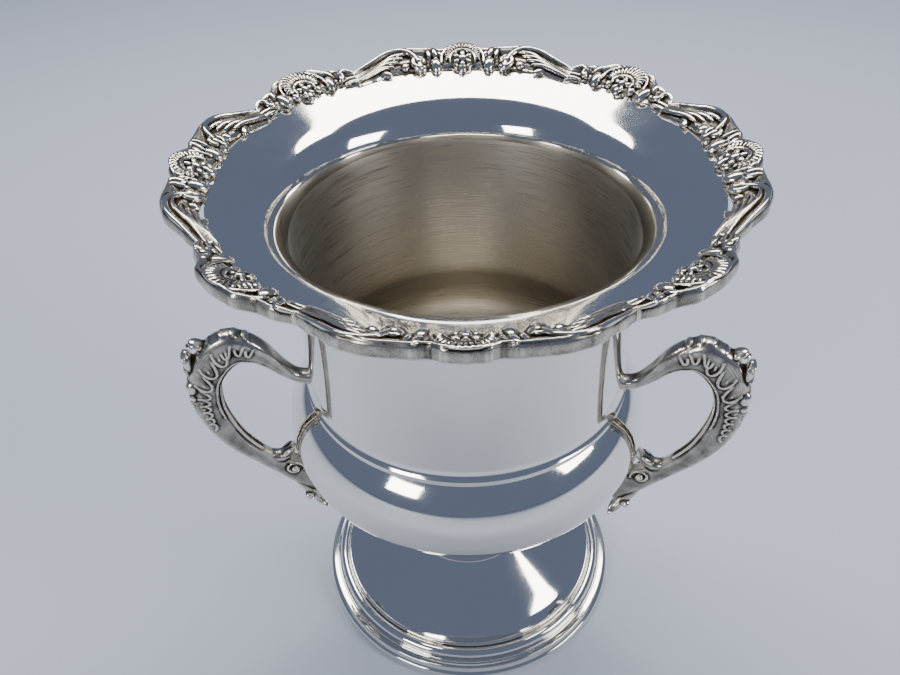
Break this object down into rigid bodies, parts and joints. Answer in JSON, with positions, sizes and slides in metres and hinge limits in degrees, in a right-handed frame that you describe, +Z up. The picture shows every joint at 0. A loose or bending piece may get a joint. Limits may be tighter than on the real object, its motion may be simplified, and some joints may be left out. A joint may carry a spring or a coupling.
{
  "type": "champagne bucket",
  "caption": "Footed urn-shaped wine cooler in silver plate: straight-sided body over a round bowl, flared rim with cast scroll border, two cast scroll handles, domed pedestal foot.",
  "frame": {"origin": "centre of the foot's underside, on the floor", "axes": "+Z up along the body's axis; -Y is the front; the handles are on the -X and +X sides"},
  "size_m": [0.2401, 0.2186, 0.2481],
  "materials": {
    "polished_plate": "mirror-polished silver plate outside, satin spun inside",
    "cast_border": "polished cast silver plate with dark antiqued recesses",
    "cast_handle": "polished cast silver plate with dark antiqued recesses"
  },
  "bodies": {
    "root": {"foot_base_ring": "polished_plate", "foot_shell": "polished_plate", "neck_collar": "polished_plate", "bowl_shell": "polished_plate", "body_shell": "polished_plate", "border_cartouche_front": "cast_border", "border_cartouche_right": "cast_border", "border_cartouche_back": "cast_border", "border_cartouche_left": "cast_border", "border_shell_front_right": "cast_border", "border_shell_back_right": "cast_border", "border_shell_back_left": "cast_border", "border_shell_front_left": "cast_border", "handle_left": "cast_handle", "handle_right": "cast_handle"}
  },
  "joints": []
}
